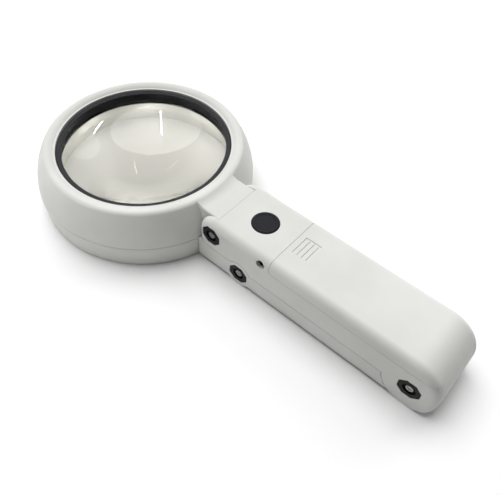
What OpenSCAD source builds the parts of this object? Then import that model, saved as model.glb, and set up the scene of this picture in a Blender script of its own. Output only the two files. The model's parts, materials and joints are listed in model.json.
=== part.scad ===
// Folding low vision magnifier: a large lens in a deep lit head, a battery handle and a fold-out arm
// with a foot. +Z is up, +X runs from the lens towards the far end of the handle, and the object
// stands on Z = 0. Lengths are in millimetres. Places along X are given from the lens axis, and the
// whole object is shifted so that the origin lies under the middle of its length.

/* [Head] */
// Widest radius of the head
head_r = 68; // [67:0.25:68.5]
// Height of the rim's crown above the table
crown_h = 38.4; // [38:0.1:39]
// Radius at which the crown is highest
crown_r = 59; // [58.5:0.25:59.5]
// Radius of the black hood's opening just above the lens
well_r = 51.4; // [50.6:0.1:51.4]
// Sag of each face of the lens
lens_sag = 6.4; // [5:0.1:6.6]
// Height of the line where the two shells of the head meet
head_split_h = 15.7; // [15.4:0.1:15.7]
// Number of lamps around the lens
led_count = 10; // [10:5:10]

/* [Handle] */
// Width of the handle
handle_w = 42; // [42:0.5:44]
// Height of the handle's top face
handle_h = 36.5; // [36.3:0.1:36.6]
// Distance from the lens axis to the far end of the handle
handle_reach = 222.4; // [222.4:0.1:222.6]
// Rounding of the handle's edges, along its top and round both ends
top_edge_r = 4.8; // [4:0.2:5]
// Radius of the push button
button_r = 7.9; // [7:0.1:8.2]
// Travel of the push button
button_travel = 1.2; // [0.8:0.1:1.2]
// Radius of the hole for the mains adaptor's plug
inlet_r = 2.8; // [2.8:0.05:3]

/* [Arm and foot] */
// Height of the arm's underside when it is folded away
arm_floor_h = 2.9; // [2.7:0.1:3.1]
// Height of the arm's top edge
arm_top_h = 13.5; // [13.4:0.1:13.6]
// Length of the foot from its pivot
foot_reach = 94; // [80:1:94]

/* [Pivots] */
// Neck pivot, between head and handle: distance from the lens axis, and height
neck_pivot = [75.2, 26.1];
// Foot pivot, between arm and foot
foot_pivot = [96, 9];
// Arm pivot, between handle and arm
arm_pivot = [207, 15.4];
// Radius of the steel sleeve that each pivot turns on
sleeve_r = 3; // [2.5:0.1:3]
// Radial clearance of each sleeve in its bush
run_gap = 0.05; // [0.02:0.01:0.08]
// Corner radius of the eight-sided pivot covers
cover_r = 6.7; // [6:0.1:6.8]

/* [Hidden] */
$fn = 96;

wall = 2.2;
gap = 0.3;
eps = 0.01;
far = 300;
half_w = handle_w / 2;
inner_half_w = half_w - wall;
lens_axis_x = (head_r - handle_reach) / 2;

// Head section
bulge_h = 13.5;
foot_ring_r = head_r - 1.1;
wall_arc_r = 46;
wall_arc_c = [head_r - wall_arc_r, bulge_h];
crown_run = crown_r - wall_arc_c[0];
crown_rise = crown_h - bulge_h;
crown_out_r = (pow(wall_arc_r, 2) - pow(crown_run, 2) - pow(crown_rise, 2)) / (2 * (wall_arc_r - crown_rise));
crown_in_r = 6.5;
tangent_a = atan2(crown_rise - crown_out_r, crown_run);
tangent_p = wall_arc_c + wall_arc_r * [cos(tangent_a), sin(tangent_a)];
rim_r = 53.7;
head_roof_h = 33.8;
head_floor_t = 2;
bottom_edge = 0.8;

// Lens stack, from the hood down to the light well
hood_top_h = 35.75;
hood_lip_r = well_r - 1.1;
hood_flange_h = 31.8;
hood_r = 54.6;
lens_r = 52.4;
lens_top_h = 28.6;
lens_edge_t = 2.9;
lens_low_h = lens_top_h - lens_edge_t;
lens_face_r = (pow(lens_r, 2) + pow(lens_sag, 2)) / (2 * lens_sag);
lens_clear = 0.4;
retainer_h = 23;
light_well_r = 51.6;

// Lamps and head screws
led_ring_r = 59;
led_w = 5;
led_t = 1.6;
board_t = 1.6;
led_board_h = 9.2;
led_window_r = 3.5;
head_screw_count = 5;
head_post_r = 3;
head_boss_top_h = 34.5;
screw_r = 1.3;
screw_hole_r = 1.5;
screw_head_r = 2.3;

// Neck
neck_half_w = 15.4;
neck_top_h = handle_h - 0.2;
neck_ease_r = 1;
neck_blend_r = 10;
barrel_r = neck_top_h - neck_pivot[1];
neck_low_h = neck_pivot[1] - barrel_r;
relief_r = handle_h - neck_pivot[1] + 0.08;
ear_in = 15.6;

// Pivot hardware
bush_r = 4.6;
sleeve_half = 18.9;
cover_low = 19;
cover_high = 20.8;
cover_dish_r = 3.7;
cover_dish_t = 1.1;
pin_screw_r = 1.2;
pin_screw_head_r = 2.1;
washer_r = 6.2;
washer_t = 0.35;
washer_seat_t = 0.25;

// Handle outline
front_edge_h = 15.6;
rear_edge_h = arm_top_h + gap;
ear_r = (handle_h - front_edge_h) / 2;
ear_c = [neck_pivot[0] + 0.4, handle_h - ear_r];
end_top_r = 19.5;
end_top_c = [handle_reach - end_top_r, handle_h - end_top_r];
end_low_r = arm_pivot[1];
chin_low_h = 7.5;
foot_boss_r = foot_pivot[1];
notch_r = foot_boss_r + 0.35;
seat_floor_h = 20.4;
front_wall_x = 88.2;
base_x = 107.8;
bulkhead_x = 188;
bulkhead_t = 2.2;
door_x = 116.7;
door_seam = 0.15;
door_h = 28.5;

// Electronics
button_x = 97.1;
button_top_h = 37;
button_flange_r = 8.7;
button_flange_h = 32.9;
button_clear = 0.25;
board_low_h = 26;
board_top_h = board_low_h + board_t;
board_x = [89, 116];
board_half_w = 17.6;
board_posts = [[92.5, -15], [92.5, 15], [112.5, 15], [102, -15]];
switch_w = 12;
switch_t = 3.2;
inlet_x = 110.9;
inlet_h = 30.95;
socket_w = 9;
socket_depth = 9.7;
socket_y = [-18.7, -7];

// Batteries
cell_r = 5.25;
cell_l = 44.5;
cell_nub_r = 1.9;
cell_nub_l = 1;
cell_pitch = 10.6;
tray_x = 119.5;
tray_t = 1.1;
tray_half_w = 17;
tray_floor_t = 1.4;
tray_h = 26;
contact_t = 0.4;
spring_gap = 3.3;
base_top_h = rear_edge_h + 2;
cell_h = base_top_h + tray_floor_t + cell_r + 0.1;
cell_x = tray_x + tray_t + contact_t;
tray_end_x = cell_x + cell_l + spring_gap + contact_t + tray_t;

// Door rails
tongue_in = 17.3;
tongue_out = 18.6;
tongue_low_h = 26.2;
lip_out = 19.5;
lip_t = 1.1;
rail_x = 118.5;
rail_end_x = 186;
rail_gap = 0.15;

// Arm and foot
arm_end_r = end_low_r + gap;
knuckle_r = 9;
foot_knuckle_r = 7.5;
arm_web_x = 106.5;
head_clear_r = head_r + 0.6;
foot_half_w = 18.3;
foot_t = 2.2;
foot_rim_h = 10.6;
foot_end_x = foot_pivot[0] + foot_reach;
weight_x = [122, 178];
weight_half_w = 14.5;
weight_t = 3.4;

white = [0.9, 0.9, 0.88];
black = [0.13, 0.13, 0.14];
steel = [0.75, 0.76, 0.78];
brass = [0.8, 0.66, 0.36];

// Puts geometry that is measured from the lens axis in its place
module placed() {
    translate([lens_axis_x, 0, 0])
        children();
}

// A cylinder across the object, along Y, around a pivot, between two distances from the middle
module across(pivot, r, y0, y1) {
    translate([pivot[0], y1, pivot[1]])
        rotate([90, 0, 0])
            cylinder(r = r, h = y1 - y0);
}

// A side outline, drawn in X and Z, given a thickness along Y
module side_solid(y0, y1) {
    translate([0, y1, 0])
        rotate([90, 0, 0])
            linear_extrude(height = y1 - y0)
                children();
}

// A block between two corners
module block(low, high) {
    translate(low)
        cube(high - low);
}

// Flat outline of a bar along X, as wide as twice half, with both corners of its end at x1 rounded
module rounded_end(x0, x1, half, r) {
    translate([x0, -half])
        square([x1 - r - x0, 2 * half]);
    translate([x0, r - half])
        square([x1 - x0, 2 * (half - r)]);
    for (side = [-1, 1])
        translate([x1 - r, side * (half - r)])
            circle(r);
}

// The same thing on the near and the far side
module both_sides() {
    children();
    mirror([0, 1, 0])
        children();
}

// Copies around the lens axis, starting at a given angle
module around(count, radius, start) {
    for (i = [0:count - 1])
        rotate([0, 0, start + i * 360 / count])
            translate([radius, 0, 0])
                children();
}

// ---- Head ----

// Half section of the whole head, without its hollow
module head_section() {
    polygon([
        [0, 0],
        [foot_ring_r - bottom_edge, 0],
        [foot_ring_r, bottom_edge],
        [head_r, bulge_h],
        [0, bulge_h]
    ]);
    intersection() {
        translate(wall_arc_c)
            circle(wall_arc_r, $fn = 180);
        translate([0, bulge_h])
            square([head_r, tangent_p[1] - bulge_h]);
    }
    translate([crown_r, crown_h - crown_out_r])
        circle(crown_out_r);
    intersection() {
        translate([crown_r, crown_h - crown_in_r])
            circle(crown_in_r);
        translate([rim_r - 1, head_roof_h - 4])
            square([crown_r - rim_r + 1, far]);
    }
    translate([0, bulge_h])
        square([crown_r, head_roof_h - bulge_h]);
}

// Half section of the hollow between the light well and the outer wall
module head_hollow_section() {
    intersection() {
        translate(wall_arc_c)
            circle(wall_arc_r - wall, $fn = 180);
        translate([hood_r + 1, head_floor_t])
            square([20, head_roof_h - head_floor_t]);
    }
}

// Half section of the hollow curve that leads the crown down to the neck's top
module neck_blend_section() {
    crown_c = [crown_r, crown_h - crown_out_r];
    rise = neck_top_h + neck_blend_r - crown_c[1];
    run = sqrt(pow(crown_out_r + neck_blend_r, 2) - pow(rise, 2));
    blend_c = [crown_r + run, neck_top_h + neck_blend_r];
    start_x = crown_r + run * crown_out_r / (crown_out_r + neck_blend_r);
    difference() {
        translate([start_x, neck_top_h - 1])
            square([blend_c[0] - start_x, crown_h - neck_top_h + 1]);
        translate(blend_c)
            circle(neck_blend_r, $fn = 180);
    }
}

// Neck with the barrel that turns between the handle's ears
module neck() {
    neck_x = 56;
    translate([neck_pivot[0], 0, 0])
        rotate([0, -90, 0])
            linear_extrude(height = neck_pivot[0] - neck_x)
                rounded_end(neck_low_h, neck_top_h, neck_half_w, neck_ease_r);
    intersection() {
        rotate_extrude($fn = 180)
            neck_blend_section();
        block([0, neck_ease_r / 2 - neck_half_w, 0], [far, neck_half_w - neck_ease_r / 2, far]);
    }
    across(neck_pivot, barrel_r, -neck_half_w, neck_half_w);
}

module head_upper_shell() {
    color(white)
        placed()
            difference() {
                union() {
                    difference() {
                        union() {
                            rotate_extrude($fn = 180)
                                head_section();
                            neck();
                        }
                        rotate_extrude($fn = 180)
                            head_hollow_section();
                        block([56, -neck_half_w + wall, neck_low_h + wall],
                              [neck_pivot[0] - 8.7, neck_half_w - wall, neck_top_h - wall]);
                        block([-far, -far, -1], [far, far, head_split_h + 0.1]);
                    }
                    around(head_screw_count, led_ring_r, 36)
                        translate([0, 0, led_board_h + board_t])
                            cylinder(r = head_post_r, h = head_boss_top_h - led_board_h - board_t);
                }
                translate([0, 0, -1])
                    cylinder(r = rim_r, h = far, $fn = 180);
                translate([0, 0, -1])
                    cylinder(r = hood_r + 1, h = head_roof_h + 1, $fn = 180);
                around(head_screw_count, led_ring_r, 36)
                    translate([0, 0, led_board_h])
                        cylinder(r = screw_r + 0.05, h = 13);
                across(neck_pivot, bush_r, -far, far);
            }
}

module head_lower_shell() {
    tongue = [64.1, 65.1];
    color(white)
        placed()
            difference() {
                union() {
                    rotate_extrude($fn = 180)
                        difference() {
                            intersection() {
                                head_section();
                                square([far, head_split_h - 0.1]);
                            }
                            translate([light_well_r + wall, head_floor_t])
                                square([tongue[1] - light_well_r - wall, far]);
                        }
                    rotate_extrude($fn = 180)
                        translate([tongue[0], 1])
                            square([tongue[1] - tongue[0], head_split_h + 0.6]);
                    rotate_extrude($fn = 180)
                        translate([light_well_r, 0])
                            square([wall, retainer_h]);
                    around(head_screw_count, led_ring_r, 36)
                        translate([0, 0, 1])
                            cylinder(r = head_post_r, h = led_board_h - 1);
                }
                translate([0, 0, -1])
                    cylinder(r = light_well_r, h = far, $fn = 180);
                around(led_count, led_ring_r, 18)
                    translate([0, 0, -1])
                        cylinder(r = led_window_r, h = head_floor_t + 2);
                around(head_screw_count, led_ring_r, 36) {
                    translate([0, 0, -1])
                        cylinder(r = screw_hole_r, h = far);
                    translate([0, 0, -1])
                        cylinder(r = screw_head_r + 0.2, h = 3.2);
                }
            }
}

// Black ring that frames the lens and holds it down
module lens_hood() {
    ease = 0.4;
    color(black)
        placed()
            rotate_extrude($fn = 180)
                polygon([
                    [well_r, lens_top_h + lens_clear],
                    [lens_r + 0.3, lens_top_h + lens_clear],
                    [lens_r + 0.3, lens_low_h - lens_clear],
                    [hood_r, lens_low_h - lens_clear],
                    [hood_r, hood_flange_h],
                    [hood_r + 0.8, hood_flange_h],
                    [hood_r + 0.8, head_roof_h - 0.1],
                    [rim_r - 0.2, head_roof_h - 0.1],
                    [rim_r - 0.2, hood_top_h - ease],
                    [rim_r - 0.2 - ease, hood_top_h],
                    [hood_lip_r + ease, hood_top_h],
                    [hood_lip_r, hood_top_h - ease]
                ]);
}

module main_lens() {
    color([0.85, 0.9, 0.9, 0.35])
        placed()
            rotate_extrude($fn = 180)
                intersection() {
                    translate([0, lens_top_h + lens_sag - lens_face_r])
                        circle(lens_face_r, $fn = 720);
                    translate([0, lens_low_h - lens_sag + lens_face_r])
                        circle(lens_face_r, $fn = 720);
                    translate([0, lens_low_h - lens_sag - 1])
                        square([lens_r, far]);
                }
}

module lens_retainer() {
    color(black)
        placed()
            translate([0, 0, retainer_h])
                difference() {
                    cylinder(r = hood_r, h = lens_low_h - lens_clear - retainer_h, $fn = 180);
                    translate([0, 0, -1])
                        cylinder(r = well_r, h = far, $fn = 180);
                }
}

module led_board() {
    color([0.25, 0.45, 0.3])
        placed()
            translate([0, 0, led_board_h])
                difference() {
                    cylinder(r = 63.4, h = board_t, $fn = 180);
                    translate([0, 0, -1])
                        cylinder(r = light_well_r + wall + 0.6, h = far, $fn = 180);
                    around(head_screw_count, led_ring_r, 36)
                        translate([0, 0, -1])
                            cylinder(r = screw_hole_r, h = far);
                }
}

module led_chips() {
    color([0.95, 0.9, 0.6])
        placed()
            around(led_count, led_ring_r, 18)
                block([-led_w / 2, -led_w / 2, led_board_h - led_t], [led_w / 2, led_w / 2, led_board_h]);
}

module led_lenses() {
    color([0.9, 0.93, 0.95, 0.6])
        placed()
            around(led_count, led_ring_r, 18) {
                translate([0, 0, 0.4])
                    cylinder(r = led_window_r - 0.1, h = led_board_h - led_t - 0.6);
                translate([0, 0, head_floor_t])
                    cylinder(r = led_window_r + 0.9, h = 1);
            }
}

// A pan-head screw that stands on its head
module screw(shank_r, shank_l, head_radius, head_t) {
    slot_w = 0.7;
    difference() {
        union() {
            cylinder(r = head_radius, h = head_t);
            translate([0, 0, head_t - eps])
                cylinder(r = shank_r, h = shank_l + eps);
        }
        for (turn = [0, 90])
            rotate([0, 0, turn])
                translate([-head_radius * 0.6, -slot_w / 2, -1])
                    cube([head_radius * 1.2, slot_w, 1 + head_t * 0.5]);
    }
}

module head_screws() {
    color(steel)
        placed()
            around(head_screw_count, led_ring_r, 36)
                translate([0, 0, 0.5])
                    screw(screw_r, 18, screw_head_r, 1.7);
}

// ---- Pivot hardware, the same at each of the three pivots ----

module pivot_bush(pivot) {
    color(brass)
        placed()
            difference() {
                across(pivot, bush_r, -neck_half_w, neck_half_w);
                across(pivot, sleeve_r + run_gap, -far, far);
            }
}

module pivot_sleeve(pivot) {
    color(steel)
        placed()
            difference() {
                across(pivot, sleeve_r, -sleeve_half, sleeve_half);
                across(pivot, pin_screw_r + 0.05, -far, far);
            }
}

module pivot_washers(pivot) {
    color(steel)
        placed()
            both_sides()
                difference() {
                    across(pivot, washer_r, neck_half_w + 0.05, neck_half_w + 0.05 + washer_t);
                    across(pivot, sleeve_r + 0.2, 0, far);
                }
}

// Shallow seats for the washers in the inner faces of both sides
module washer_seats(pivot) {
    across(pivot, washer_r + 0.2, -ear_in - washer_seat_t, ear_in + washer_seat_t);
}

// Eight-sided seat for a cover, on both sides
module cover_seats(pivot) {
    both_sides()
        translate([pivot[0], far, pivot[1]])
            rotate([90, 0, 0])
                rotate([0, 0, 22.5])
                    cylinder(r = cover_r + 0.15, h = far - cover_low, $fn = 8);
}

module pivot_covers(pivot) {
    color(black)
        placed()
            both_sides()
                difference() {
                    translate([pivot[0], cover_high, pivot[1]])
                        rotate([90, 0, 0])
                            rotate([0, 0, 22.5])
                                cylinder(r = cover_r, h = cover_high - cover_low, $fn = 8);
                    across(pivot, cover_dish_r, cover_high - cover_dish_t, far);
                    across(pivot, pin_screw_r + 0.2, 0, far);
                }
}

module pivot_screws(pivot) {
    head_t = 0.7;
    shank_l = 8;
    color(steel)
        placed()
            both_sides()
                translate([pivot[0], cover_high - cover_dish_t + head_t, pivot[1]])
                    rotate([90, 0, 0])
                        screw(pin_screw_r, shank_l, pin_screw_head_r, head_t);
}

module neck_bush() pivot_bush(neck_pivot);
module neck_sleeve() pivot_sleeve(neck_pivot);
module neck_washers() pivot_washers(neck_pivot);
module neck_covers() pivot_covers(neck_pivot);
module neck_screws() pivot_screws(neck_pivot);
module arm_bush() pivot_bush(arm_pivot);
module arm_sleeve() pivot_sleeve(arm_pivot);
module arm_washers() pivot_washers(arm_pivot);
module arm_covers() pivot_covers(arm_pivot);
module arm_screws() pivot_screws(arm_pivot);
module foot_bush() pivot_bush(foot_pivot);
module foot_sleeve() pivot_sleeve(foot_pivot);
module foot_washers() pivot_washers(foot_pivot);
module foot_covers() pivot_covers(foot_pivot);
module foot_screws() pivot_screws(foot_pivot);

// ---- Handle ----

// Side outline of the handle, with its top and far end shrunk by inset
module handle_outline(inset) {
    translate(end_top_c)
        intersection() {
            circle(end_top_r - inset, $fn = 180);
            square(end_top_r);
        }
    translate([foot_pivot[0], rear_edge_h])
        square([end_top_c[0] - foot_pivot[0], handle_h - inset - rear_edge_h]);
    translate([end_top_c[0], arm_pivot[1]])
        square([end_top_r - inset, end_top_c[1] - arm_pivot[1]]);
    translate(arm_pivot)
        circle(end_low_r - inset, $fn = 180);
    translate([ear_c[0], front_edge_h])
        square([foot_pivot[0] - ear_c[0], handle_h - inset - front_edge_h]);
}

// A round end across the handle, rounded along both of its edges
module handle_round(center, r) {
    translate([center[0], 0, center[1]])
        rotate([90, 0, 0])
            rotate_extrude($fn = 180)
                rounded_end(0, r, half_w, top_edge_r);
}

// Full outer form of the handle, ears included
module handle_form() {
    mid_x = 150;
    intersection() {
        side_solid(-half_w, half_w) {
            handle_outline(0);
            translate(ear_c)
                circle(ear_r);
        }
        union() {
            translate([end_top_c[0], 0, 0])
                rotate([0, -90, 0])
                    linear_extrude(height = end_top_c[0] - ear_c[0])
                        rounded_end(-1, handle_h, half_w, top_edge_r);
            handle_round(end_top_c, end_top_r);
            handle_round(ear_c, ear_r);
            translate([0, 0, -1])
                linear_extrude(height = end_top_c[1] + 1)
                    rounded_end(mid_x, handle_reach, half_w, top_edge_r);
            translate([0, 0, -1])
                linear_extrude(height = ear_c[1] + 1)
                    mirror([1, 0])
                        rounded_end(-mid_x, ear_r - ear_c[0], half_w, top_edge_r);
        }
    }
}

// Side outline of the room between the ears at the far end, above the chin that joins them
module end_room_outline() {
    difference() {
        translate([bulkhead_x + bulkhead_t, -1])
            square(far);
        difference() {
            translate([arm_pivot[0] + 8, chin_low_h])
                square([far, rear_edge_h - chin_low_h]);
            translate(arm_pivot)
                circle(end_low_r - wall, $fn = 180);
        }
    }
}

// Room for the door's tongues and lips, open at the far end
module door_rail_grooves() {
    both_sides() {
        block([rail_x - 1, tongue_in - rail_gap, tongue_low_h - rail_gap],
              [far, tongue_out + rail_gap, door_h + 1]);
        block([rail_x - 1, tongue_out, tongue_low_h - rail_gap],
              [far, lip_out + rail_gap, tongue_low_h + lip_t + rail_gap]);
    }
}

module handle_housing() {
    color(white)
        placed()
            difference() {
                union() {
                    difference() {
                        handle_form();
                        block([front_wall_x, -inner_half_w, seat_floor_h], [door_x + 5, inner_half_w, handle_h - wall]);
                        block([base_x, -inner_half_w, -1], [bulkhead_x, inner_half_w, handle_h - wall]);
                    }
                    for (post = board_posts)
                        translate([post[0], post[1], board_top_h])
                            cylinder(r = 2.6, h = handle_h - 1 - board_top_h);
                    for (x = [base_x + 2.4, bulkhead_x - 2.4], y = [-16, 16])
                        translate([x, y, base_top_h])
                            cylinder(r = 3, h = seat_floor_h - base_top_h);
                }
                block([50, -ear_in, -1], [neck_pivot[0], ear_in, far]);
                across(neck_pivot, relief_r, -ear_in, ear_in);
                across(foot_pivot, notch_r, -far, far);
                side_solid(-ear_in, ear_in)
                    end_room_outline();
                block([bulkhead_x - 1, -ear_in, -1], [bulkhead_x + bulkhead_t + 1, ear_in, rear_edge_h]);
                block([door_x, -far, door_h], [far, far, far]);
                door_rail_grooves();
                for (pivot = [neck_pivot, arm_pivot]) {
                    across(pivot, sleeve_r + run_gap, -far, far);
                    washer_seats(pivot);
                    cover_seats(pivot);
                }
                translate([button_x, 0, board_top_h])
                    cylinder(r = button_r + button_clear, h = far);
                across([inlet_x, inlet_h], inlet_r, -half_w - 1, -inner_half_w + 1);
                for (post = board_posts)
                    translate([post[0], post[1], board_top_h - 1])
                        cylinder(r = 1.15, h = 6);
                for (x = [base_x + 2.4, bulkhead_x - 2.4], y = [-16, 16])
                    translate([x, y, base_top_h - 1])
                        cylinder(r = screw_r + 0.05, h = 5);
            }
}

module handle_base() {
    rib_h = 1;
    color(white)
        placed()
            difference() {
                union() {
                    block([base_x + 0.2, -inner_half_w + 0.2, rear_edge_h], [bulkhead_x - 0.2, inner_half_w - 0.2, base_top_h]);
                    for (y = [-8, 8])
                        block([tray_end_x + 1, y - 0.6, rear_edge_h], [bulkhead_x - 7, y + 0.6, base_top_h + rib_h]);
                }
                for (x = [base_x + 2.4, bulkhead_x - 2.4], y = [-16, 16])
                    translate([x, y, rear_edge_h - 1]) {
                        cylinder(r = screw_hole_r, h = far);
                        cylinder(r = screw_head_r + 0.2, h = 2.2);
                    }
            }
}

module base_screws() {
    color(steel)
        placed()
            for (x = [base_x + 2.4, bulkhead_x - 2.4], y = [-16, 16])
                translate([x, y, rear_edge_h + 0.1])
                    screw(screw_r, 4.5, screw_head_r, 1.1);
}

module circuit_board() {
    color([0.2, 0.4, 0.28])
        placed()
            difference() {
                block([board_x[0], -board_half_w, board_low_h], [board_x[1], board_half_w, board_top_h]);
                for (post = board_posts)
                    translate([post[0], post[1], board_low_h - 1])
                        cylinder(r = 1.2, h = 5);
            }
}

module board_screws() {
    head_t = 1.2;
    color(steel)
        placed()
            for (post = board_posts)
                translate([post[0], post[1], board_low_h - head_t])
                    screw(1.1, 5.5, 2, head_t);
}

module push_switch() {
    color([0.2, 0.2, 0.22])
        placed()
            difference() {
                translate([button_x, 0, board_top_h + switch_t / 2])
                    cube([switch_w, switch_w, switch_t], center = true);
                translate([button_x, 0, board_top_h + 0.5])
                    cylinder(r = 2.1, h = far);
            }
}

module button_cap() {
    stem_r = 1.9;
    stem_low_h = board_top_h + 0.5 + button_travel + 0.3;
    dish_t = 0.35;
    color(black)
        placed()
            translate([button_x, 0, 0])
                difference() {
                    union() {
                        translate([0, 0, button_flange_h])
                            cylinder(r = button_r, h = button_top_h - 0.6 - button_flange_h);
                        translate([0, 0, button_top_h - 0.6 - eps])
                            cylinder(r1 = button_r, r2 = button_r - 0.6, h = 0.6 + eps);
                        translate([0, 0, button_flange_h])
                            cylinder(r = button_flange_r, h = handle_h - wall - 0.1 - button_flange_h);
                        translate([0, 0, stem_low_h])
                            cylinder(r = stem_r, h = button_flange_h - stem_low_h + eps);
                    }
                    translate([0, 0, button_top_h - dish_t])
                        cylinder(r1 = button_r - 2, r2 = button_r - 1.4, h = dish_t + eps);
                }
}

module dc_socket() {
    color(black)
        placed()
            difference() {
                block([inlet_x - socket_w / 2, socket_y[0], board_top_h], [inlet_x + socket_w / 2, socket_y[1], handle_h - wall - 0.1]);
                across([inlet_x, inlet_h], inlet_r + 0.2, -far, socket_y[0] + socket_depth);
            }
}

module dc_socket_pin() {
    color(steel)
        placed()
            across([inlet_x, inlet_h], 1, socket_y[0] + 2.5, socket_y[0] + socket_depth);
}

// ---- Batteries ----

// One cell lies along X, and every second one is turned round
module cell(i) {
    turned = i % 2;
    color([0.32, 0.34, 0.38])
        placed()
            translate([cell_x + turned * (cell_l + spring_gap), (i - 1) * cell_pitch, cell_h])
                rotate([0, turned ? -90 : 90, 0]) {
                    cylinder(r = cell_nub_r, h = cell_nub_l + eps);
                    translate([0, 0, cell_nub_l])
                        cylinder(r = cell_r, h = cell_l - cell_nub_l);
                }
}

module battery_near() cell(0);
module battery_middle() cell(1);
module battery_far() cell(2);

module battery_tray() {
    color(white)
        placed()
            difference() {
                block([tray_x, -tray_half_w, base_top_h], [tray_end_x, tray_half_w, tray_h]);
                block([tray_x + tray_t, -tray_half_w + tray_t, base_top_h + tray_floor_t],
                      [tray_end_x - tray_t, tray_half_w - tray_t, far]);
            }
}

module battery_contacts() {
    contact_w = 8;
    color(steel)
        placed()
            for (x = [tray_x + tray_t, tray_end_x - tray_t - contact_t], i = [-1:1])
                block([x, i * cell_pitch - contact_w / 2, cell_h - 4], [x + contact_t, i * cell_pitch + contact_w / 2, cell_h + 4]);
}

// Points of one ring of the spring wire at an angle along the coil
function coil_ring(a, coil_r0, coil_r1, turns, height, wire_r, sides) =
    let (t = a / (360 * turns), r = coil_r0 + (coil_r1 - coil_r0) * t, z = height * t)
    [for (k = [0:sides - 1])
        let (b = 360 * k / sides, rr = r + wire_r * cos(b))
        [rr * cos(a), rr * sin(a), z + wire_r * sin(b)]];

// A conical coil that rises along Z from a wide foot to a narrow top
module coil(coil_r0, coil_r1, turns, height, wire_r) {
    sides = 6;
    steps = 16 * turns;
    rings = [for (i = [0:steps]) coil_ring(i * 360 / 16, coil_r0, coil_r1, turns, height, wire_r, sides)];
    points = [for (ring = rings, p = ring) p];
    faces = concat(
        [[for (k = [0:sides - 1]) k]],
        [for (i = [0:steps - 1], k = [0:sides - 1])
            let (a = i * sides + k, b = i * sides + (k + 1) % sides)
            [a, a + sides, b + sides, b]],
        [[for (k = [sides - 1:-1:0]) steps * sides + k]]
    );
    polyhedron(points = points, faces = faces);
}

module battery_springs() {
    wire_r = 0.3;
    rise = spring_gap - 3 * wire_r;
    color(steel)
        placed()
            for (i = [-1:1])
                translate([i == 0 ? cell_x + 1.5 * wire_r : tray_end_x - tray_t - contact_t - 1.5 * wire_r, i * cell_pitch, cell_h])
                    rotate([0, i == 0 ? 90 : -90, 0])
                        coil(3.6, 2, 3, rise, wire_r);
}

module battery_leads() {
    lead_r = 0.6;
    lead_h = 24.6;
    lead_x = 113.8;
    color([0.7, 0.15, 0.12])
        placed()
            for (y = [-8, 8]) {
                translate([lead_x, y, lead_h])
                    sphere(r = lead_r, $fn = 32);
                translate([lead_x, y, lead_h])
                    cylinder(r = lead_r, h = board_low_h - lead_h, $fn = 32);
                translate([lead_x, y, lead_h])
                    rotate([0, 90, 0])
                        cylinder(r = lead_r, h = tray_x - lead_x, $fn = 32);
            }
}

// L-shaped tongues along both sides of the door
module door_tongues(x0, x1) {
    both_sides() {
        block([x0, tongue_in, tongue_low_h], [x1, tongue_out, door_h + 2.5]);
        block([x0, tongue_in, tongue_low_h], [x1, lip_out, tongue_low_h + lip_t]);
    }
}

// Sliding door: the handle's top behind the seam, and its far end between the ears
module battery_door() {
    grip_pitch = 2.9;
    grip_w = 1.5;
    grip_l = 13;
    grip_t = 0.3;
    grip_x = 120.4;
    end_half_w = ear_in - 0.1;
    color(white)
        placed()
            difference() {
                union() {
                    difference() {
                        intersection() {
                            handle_form();
                            union() {
                                block([door_x + door_seam, -far, door_h + door_seam], [far, far, far]);
                                block([end_top_c[0], -end_half_w, rear_edge_h + door_seam], [far, end_half_w, far]);
                            }
                        }
                        side_solid(-inner_half_w, inner_half_w)
                            handle_outline(wall);
                    }
                    both_sides()
                        block([rail_x, tongue_in, door_h + door_seam], [rail_end_x, inner_half_w + 0.2, door_h + 2.5]);
                    door_tongues(rail_x, rail_end_x);
                    intersection() {
                        handle_form();
                        door_tongues(end_top_c[0] + 12, far);
                    }
                }
                for (i = [0:3])
                    translate([grip_x + i * grip_pitch, -grip_l / 2 + 0.5, handle_h - grip_t])
                        cube([grip_w, grip_l, 2]);
                block([grip_x, grip_l / 2 - 0.6, handle_h - grip_t],
                      [grip_x + 3 * grip_pitch + grip_w, grip_l / 2 + 0.5, handle_h + 1]);
            }
}

// ---- Arm and foot ----

// Side outline of the arm's two cheeks
module cheek_outline() {
    nose_x = 64;
    nose_h = 17;
    difference() {
        union() {
            translate([nose_x, arm_floor_h])
                square([foot_pivot[0] - nose_x, front_edge_h - gap - arm_floor_h]);
            translate([nose_x, arm_floor_h])
                square([neck_pivot[0] - nose_x, nose_h - arm_floor_h]);
            translate([foot_pivot[0], arm_floor_h])
                square([arm_pivot[0] - foot_pivot[0], arm_top_h - arm_floor_h]);
            translate(foot_pivot)
                circle(foot_boss_r);
        }
        translate(ear_c)
            circle(ear_r + gap);
        translate(arm_pivot)
            circle(arm_end_r, $fn = 180);
    }
}

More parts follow.
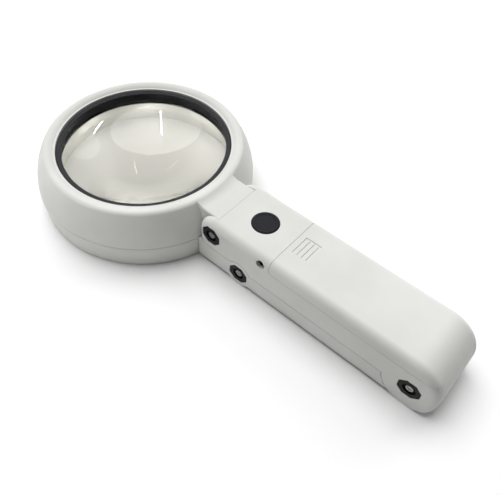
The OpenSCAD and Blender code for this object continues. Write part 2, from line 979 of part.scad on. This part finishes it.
module arm_channel() {
    web_h = arm_top_h - wall;
    nose_web_h = front_edge_h - gap;
    color(white)
        placed()
            difference() {
                union() {
                    both_sides() {
                        side_solid(inner_half_w, half_w)
                            cheek_outline();
                        across(foot_pivot, foot_boss_r, ear_in, half_w);
                    }
                    difference() {
                        block([arm_web_x, -half_w + 1, web_h], [arm_pivot[0], half_w - 1, arm_top_h]);
                        both_sides()
                            across(arm_pivot, arm_end_r, neck_half_w, far);
                    }
                    block([60, -half_w + 1, nose_web_h - wall], [foot_pivot[0] - foot_boss_r - 0.5, half_w - 1, nose_web_h]);
                    difference() {
                        block([60, -half_w + 1, arm_floor_h], [80, half_w - 1, nose_web_h]);
                        cylinder(r = head_clear_r + wall, h = far, $fn = 180);
                    }
                    block([bulkhead_x, -neck_half_w, arm_floor_h + 6], [arm_pivot[0], neck_half_w, arm_top_h]);
                    across(arm_pivot, knuckle_r, -neck_half_w, neck_half_w);
                }
                translate([0, 0, -1])
                    cylinder(r = head_clear_r, h = far, $fn = 180);
                across(arm_pivot, bush_r, -far, far);
                across(foot_pivot, sleeve_r + run_gap, -far, far);
                washer_seats(foot_pivot);
                cover_seats(foot_pivot);
            }
}

module foot_plate() {
    color(white)
        placed()
            difference() {
                union() {
                    block([foot_pivot[0], -foot_half_w, arm_floor_h], [foot_end_x, foot_half_w, arm_floor_h + foot_t]);
                    both_sides()
                        block([foot_pivot[0] + 12, foot_half_w - 1.8, arm_floor_h], [foot_end_x - 6, foot_half_w, foot_rim_h]);
                    across(foot_pivot, foot_knuckle_r, -neck_half_w, neck_half_w);
                }
                both_sides()
                    across(foot_pivot, notch_r, neck_half_w, far);
                across(foot_pivot, bush_r, -far, far);
                for (x = [weight_x[0] + 6, weight_x[1] - 6])
                    translate([x, 0, 0])
                        cylinder(r = 1.3, h = far);
            }
}

module foot_weight() {
    color([0.5, 0.5, 0.52])
        placed()
            difference() {
                block([weight_x[0], -weight_half_w, arm_floor_h + foot_t], [weight_x[1], weight_half_w, arm_floor_h + foot_t + weight_t]);
                for (x = [weight_x[0] + 6, weight_x[1] - 6])
                    translate([x, 0, 0])
                        cylinder(r = screw_hole_r, h = far);
            }
}

module weight_screws() {
    color(steel)
        placed()
            for (x = [weight_x[0] + 6, weight_x[1] - 6])
                translate([x, 0, arm_floor_h + foot_t + weight_t + 1.2])
                    rotate([180, 0, 0])
                        screw(1.2, weight_t + foot_t - 0.5, 2.2, 1.2);
}

module foot_pads() {
    pad_t = 0.8;
    color([0.2, 0.2, 0.2])
        placed()
            for (x = [foot_pivot[0] + 18, foot_end_x - 10], y = [-12, 12])
                translate([x, y, arm_floor_h - pad_t])
                    cylinder(r = 4, h = pad_t);
}

head_upper_shell();
head_lower_shell();
lens_hood();
main_lens();
lens_retainer();
led_board();
led_chips();
led_lenses();
head_screws();
neck_bush();
handle_housing();
handle_base();
base_screws();
neck_sleeve();
neck_washers();
neck_covers();
neck_screws();
arm_sleeve();
arm_washers();
arm_covers();
arm_screws();
circuit_board();
board_screws();
push_switch();
dc_socket();
dc_socket_pin();
battery_tray();
battery_near();
battery_middle();
battery_far();
battery_springs();
battery_contacts();
battery_leads();
battery_door();
button_cap();
arm_channel();
arm_bush();
foot_sleeve();
foot_washers();
foot_covers();
foot_screws();
foot_plate();
foot_bush();
foot_weight();
weight_screws();
foot_pads();
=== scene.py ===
import json
import math

import bmesh
import bpy
from mathutils import Matrix, Vector


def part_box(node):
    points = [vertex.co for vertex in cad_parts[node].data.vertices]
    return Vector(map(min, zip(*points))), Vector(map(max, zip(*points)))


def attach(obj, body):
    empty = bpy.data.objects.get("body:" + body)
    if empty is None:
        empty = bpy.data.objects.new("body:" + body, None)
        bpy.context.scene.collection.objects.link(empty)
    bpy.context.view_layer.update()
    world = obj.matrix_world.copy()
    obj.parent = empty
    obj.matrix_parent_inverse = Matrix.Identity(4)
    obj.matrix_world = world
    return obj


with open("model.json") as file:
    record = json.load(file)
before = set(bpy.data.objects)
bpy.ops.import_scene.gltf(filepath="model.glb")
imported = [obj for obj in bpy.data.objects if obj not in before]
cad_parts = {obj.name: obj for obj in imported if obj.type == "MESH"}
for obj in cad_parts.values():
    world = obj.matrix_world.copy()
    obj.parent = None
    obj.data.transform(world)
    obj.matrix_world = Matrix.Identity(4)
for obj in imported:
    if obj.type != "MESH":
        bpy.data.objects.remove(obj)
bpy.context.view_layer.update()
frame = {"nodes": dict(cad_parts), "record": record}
nodes = frame["nodes"]

# Lengths in metres
GRAIN_DEPTH = 0.00002
PLASTIC_EDGE = 0.0003
METAL_EDGE = 0.00015
FLOOR_HALF = 3.0
STRIP_DISTANCE = 1.5
STRIP_WIDTH = 0.006
WELL_LAMP_RADIUS = 0.005


# ---- Material helpers ----

def new_material(name):
    """A material with an empty node tree but for its output and shader."""
    mat = bpy.data.materials.new(name)
    mat.use_nodes = True
    tree = mat.node_tree
    shader = tree.nodes["Principled BSDF"]
    return mat, tree, shader


def node(tree, kind, **values):
    """A new node with the given inputs, or else properties, set."""
    made = tree.nodes.new(kind)
    for key, value in values.items():
        if key in made.inputs:
            made.inputs[key].default_value = value
        else:
            setattr(made, key, value)
    return made


def noise(tree, scale, detail=3.0, rough=0.5):
    """Noise over the object's own coordinates; scale is in features per metre."""
    coords = node(tree, "ShaderNodeTexCoord")
    made = node(tree, "ShaderNodeTexNoise", Scale=scale, Detail=detail, Roughness=rough)
    tree.links.new(coords.outputs["Object"], made.inputs["Vector"])
    return made


def colour_span(tree, source, low, high):
    """The colour output of a ramp from low to high over the middle of a noise."""
    made = node(tree, "ShaderNodeValToRGB")
    first, last = made.color_ramp.elements
    first.position, last.position = 0.35, 0.65
    first.color, last.color = (*low, 1), (*high, 1)
    tree.links.new(source, made.inputs["Fac"])
    return made.outputs["Color"]


def value_span(tree, source, low, high):
    """The value output of a map from low to high over the middle of a noise."""
    made = node(tree, "ShaderNodeMapRange")
    made.inputs["From Min"].default_value = 0.3
    made.inputs["From Max"].default_value = 0.7
    made.inputs["To Min"].default_value = low
    made.inputs["To Max"].default_value = high
    tree.links.new(source, made.inputs["Value"])
    return made.outputs["Result"]


def soft_edges(tree, radius):
    """The normals of a bevel in the shading alone, so that moulded edges catch the light."""
    return node(tree, "ShaderNodeBevel", samples=6, Radius=radius).outputs["Normal"]


def plastic(name, dark, light, rough=(0.38, 0.5), grain=3000, spec=0.5):
    """Moulded plastic: slow colour drift, fine spark-eroded grain, uneven sheen."""
    mat, tree, shader = new_material(name)
    join = tree.links.new
    slow = noise(tree, 35).outputs["Fac"]
    patchy = noise(tree, 120, 4).outputs["Fac"]
    fine = noise(tree, grain, 2, 0.6).outputs["Fac"]
    bumps = node(tree, "ShaderNodeBump", Strength=0.35, Distance=GRAIN_DEPTH)
    join(colour_span(tree, slow, dark, light), shader.inputs["Base Color"])
    join(value_span(tree, patchy, *rough), shader.inputs["Roughness"])
    join(fine, bumps.inputs["Height"])
    join(soft_edges(tree, PLASTIC_EDGE), bumps.inputs["Normal"])
    join(bumps.outputs["Normal"], shader.inputs["Normal"])
    shader.inputs["Specular IOR Level"].default_value = spec
    return mat


def metal(name, dark, light, rough=(0.22, 0.36)):
    """Turned or drawn metal with a fine uneven grain."""
    mat, tree, shader = new_material(name)
    join = tree.links.new
    grain = noise(tree, 900, 4).outputs["Fac"]
    join(colour_span(tree, grain, dark, light), shader.inputs["Base Color"])
    join(value_span(tree, grain, *rough), shader.inputs["Roughness"])
    join(soft_edges(tree, METAL_EDGE), shader.inputs["Normal"])
    shader.inputs["Metallic"].default_value = 1.0
    return mat


def glass(name, tint, rough):
    """Clear plastic with a slight smudged unevenness in its tint."""
    mat, tree, shader = new_material(name)
    smudge = noise(tree, 60, 4).outputs["Fac"]
    lighter = [min(1, 1.02 * c) for c in tint]
    tree.links.new(colour_span(tree, smudge, tint, lighter), shader.inputs["Base Color"])
    shader.inputs["Transmission Weight"].default_value = 1.0
    shader.inputs["IOR"].default_value = 1.49
    shader.inputs["Specular IOR Level"].default_value = 0.3
    shader.inputs["Roughness"].default_value = rough
    return mat


# ---- Materials ----

WHITE = plastic("white_plastic", (0.63, 0.63, 0.60), (0.67, 0.67, 0.645))
BLACK = plastic("black_plastic", (0.019, 0.0195, 0.022), (0.026, 0.0265, 0.03), (0.4, 0.55), spec=0.08)
HOOD = plastic("hood_plastic", (0.033, 0.034, 0.0375), (0.041, 0.042, 0.0455), (0.4, 0.55), spec=0.12)
COVER = plastic("cover_plastic", (0.006, 0.006, 0.0065), (0.01, 0.01, 0.0105), (0.35, 0.5), spec=0.12)
TRAY = plastic("tray_plastic", (0.55, 0.55, 0.53), (0.62, 0.62, 0.6))
BOARD = plastic("board_green", (0.02, 0.1, 0.05), (0.03, 0.14, 0.07), (0.25, 0.35), grain=900)
LAMP = plastic("lamp_yellow", (0.75, 0.6, 0.2), (0.85, 0.75, 0.35), (0.2, 0.3))
CELL = plastic("cell_case", (0.05, 0.06, 0.09), (0.09, 0.1, 0.13), (0.25, 0.35))
LEAD = plastic("lead_red", (0.35, 0.02, 0.015), (0.45, 0.04, 0.03))
RUBBER = plastic("pad_rubber", (0.02, 0.02, 0.02), (0.04, 0.04, 0.04), (0.7, 0.9))
WEIGHT = plastic("weight_grey", (0.1, 0.105, 0.11), (0.15, 0.155, 0.16), (0.5, 0.7))
STEEL = metal("steel", (0.5, 0.51, 0.52), (0.66, 0.67, 0.68))
SCREW = metal("screw_steel", (0.3, 0.3, 0.29), (0.48, 0.48, 0.46), (0.28, 0.42))
SPRING = metal("spring_steel", (0.6, 0.6, 0.58), (0.72, 0.72, 0.7))
BRASS = metal("bush_brass", (0.55, 0.4, 0.16), (0.7, 0.52, 0.24))
LENS = glass("lens_glass", (0.732, 0.722, 0.68), 0.0)
CLEAR = glass("clear_plastic", (0.92, 0.95, 0.97), 0.1)

# By the record's material slot, and the nodes that have a finish of their own
SLOT_MATERIAL = {
    "white_shell": WHITE, "black_plastic": BLACK, "lens_glass": LENS, "board": BOARD, "lamp": LAMP,
    "clear_plastic": CLEAR, "steel": STEEL, "spring_steel": SPRING, "bush_brass": BRASS,
    "tray_plastic": TRAY, "cell_case": CELL, "lead_red": LEAD, "weight_steel": WEIGHT,
    "pad_rubber": RUBBER,
}
NODE_MATERIAL = {
    "lens_hood": HOOD, "lens_retainer": HOOD,
    "neck_covers": COVER, "arm_covers": COVER, "foot_covers": COVER,
    "neck_screws": SCREW, "arm_screws": SCREW, "foot_screws": SCREW,
}
slots = {part["node"]: part["material_slot"] for part in frame["record"]["subparts"]}
for name, obj in nodes.items():
    obj.data.materials.clear()
    obj.data.materials.append(NODE_MATERIAL.get(name, SLOT_MATERIAL[slots[name]]))


# ---- Stage, light and camera ----

def add(name, data):
    """A new object in the scene that holds the given data."""
    obj = bpy.data.objects.new(name, data)
    bpy.context.scene.collection.objects.link(obj)
    return obj


floor_mat, tree, shader = new_material("floor_white")
shader.inputs["Base Color"].default_value = (0.9, 0.9, 0.9, 1)
shader.inputs["Roughness"].default_value = 0.9
floor_mesh = bpy.data.meshes.new("floor")
floor_mesh.materials.append(floor_mat)
grid = bmesh.new()
bmesh.ops.create_grid(grid, x_segments=2, y_segments=2, size=FLOOR_HALF)
grid.to_mesh(floor_mesh)
grid.free()
floor = add("floor", floor_mesh)

world = bpy.data.worlds.new("studio")
bpy.context.scene.world = world
world.use_nodes = True
world.node_tree.nodes["Background"].inputs["Color"].default_value = (1, 1, 1, 1)
world.node_tree.nodes["Background"].inputs["Strength"].default_value = 0.2


def flag(name, start, end, height):
    """A standing black card, out of the picture, that keeps stray light off the far end."""
    mesh = bpy.data.meshes.new(name)
    card = bmesh.new()
    corners = [(*start, 0.001), (*end, 0.001), (*end, height), (*start, height)]
    card.faces.new([card.verts.new(corner) for corner in corners])
    card.to_mesh(mesh)
    card.free()
    mesh.materials.append(BLACK)
    obj = add(name, mesh)
    obj.visible_camera = False
    obj.visible_glossy = False
    obj.visible_shadow = False


def sun(name, direction, strength, angle):
    """A broad soft light that shines from direction."""
    data = bpy.data.lights.new(name, "SUN")
    data.energy = strength
    data.angle = math.radians(angle)
    obj = add(name, data)
    obj.rotation_euler = (-Vector(direction)).to_track_quat("-Z", "Y").to_euler()
    return obj


def panel(name, location, target, size, power):
    """A square soft box at a location, facing a target."""
    data = bpy.data.lights.new(name, "AREA")
    data.size = size
    data.energy = power
    obj = add(name, data)
    obj.location = location
    obj.rotation_euler = (target - obj.location).to_track_quat("-Z", "Y").to_euler()
    obj.visible_camera = False
    obj.visible_glossy = False


def seen_from(centre, azimuth, elevation, distance):
    """The point at a distance from centre, in a direction given in degrees."""
    a, e = math.radians(azimuth), math.radians(elevation)
    outward = Vector((math.cos(a) * math.cos(e), math.sin(a) * math.cos(e), math.sin(e)))
    return centre + distance * outward


def strip(name, centre, start, end, power):
    """A narrow straight lamp between two directions seen from centre, facing it."""
    p0 = seen_from(centre, *start, STRIP_DISTANCE)
    p1 = seen_from(centre, *end, STRIP_DISTANCE)
    middle = (p0 + p1) / 2
    along = (p1 - p0).normalized()
    away = (middle - centre).normalized()
    across = along.cross(away).normalized()
    away = across.cross(along).normalized()
    data = bpy.data.lights.new(name, "AREA")
    data.shape = "RECTANGLE"
    data.energy = power
    data.size = STRIP_WIDTH
    data.size_y = (p1 - p0).length
    facing = Matrix((across, along, away)).transposed().to_4x4()
    add(name, data).matrix_world = Matrix.Translation(middle) @ facing


def well_lamps(centre, radius, height, count, power):
    """Small lamps round the light well, which turn with the head and only show by what they light."""
    for i in range(count):
        data = bpy.data.lights.new(f"well_lamp_{i}", "POINT")
        data.energy = power
        data.shadow_soft_size = WELL_LAMP_RADIUS
        around = 2 * math.pi * i / count
        x = centre.x + radius * math.cos(around)
        y = centre.y + radius * math.sin(around)
        obj = add(f"well_lamp_{i}", data)
        obj.location = (x, y, height)
        obj.visible_camera = False
        obj.visible_glossy = False
        obj.visible_transmission = False
        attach(obj, "head")


lens_low, lens_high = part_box("main_lens")
lens_at = (Vector(lens_low) + Vector(lens_high)) / 2
key = sun("key", (-0.42, 0.1, 1.0), strength=2.88, angle=55)
key.visible_glossy = False
sun("back", (0.1, 1.0, 0.7), strength=0.8, angle=40)
panel("fill", Vector((-0.26, -0.32, 0.2)), lens_at, size=0.25, power=0.15)
# The two strips are seen as thin bright arcs on the lens
strip("strip_left", lens_at, (151.0, 15.3), (158.4, 26.0), power=0.7)
strip("strip_right", lens_at, (136.5, 13.2), (135, 35.5), power=0.9)
# The lens blocks direct light, so these stand for the light it lets onto the page
well_lamps(lens_at, radius=0.042, height=0.017, count=8, power=0.006)
flag("flag_end", (0.275, -0.16), (0.275, 0.14), height=0.2)
flag("flag_near", (0.05, -0.16), (0.275, -0.16), height=0.145)

camera_data = bpy.data.cameras.new("camera")
camera_data.lens = 41.07
camera_data.sensor_width = 36
camera = add("camera", camera_data)
camera_at = Vector((0.14066, -0.16962, 0.27359))
camera_aim = Vector((0.00689, 0.00415, 0.0))
roll = math.radians(3.73)
look = (camera_aim - camera_at).to_track_quat("-Z", "Y").to_matrix()
turned = (look @ Matrix.Rotation(roll, 3, "Z")).to_4x4()
camera.matrix_world = Matrix.Translation(camera_at) @ turned
bpy.context.scene.camera = camera
bpy.context.scene.view_settings.view_transform = "Standard"
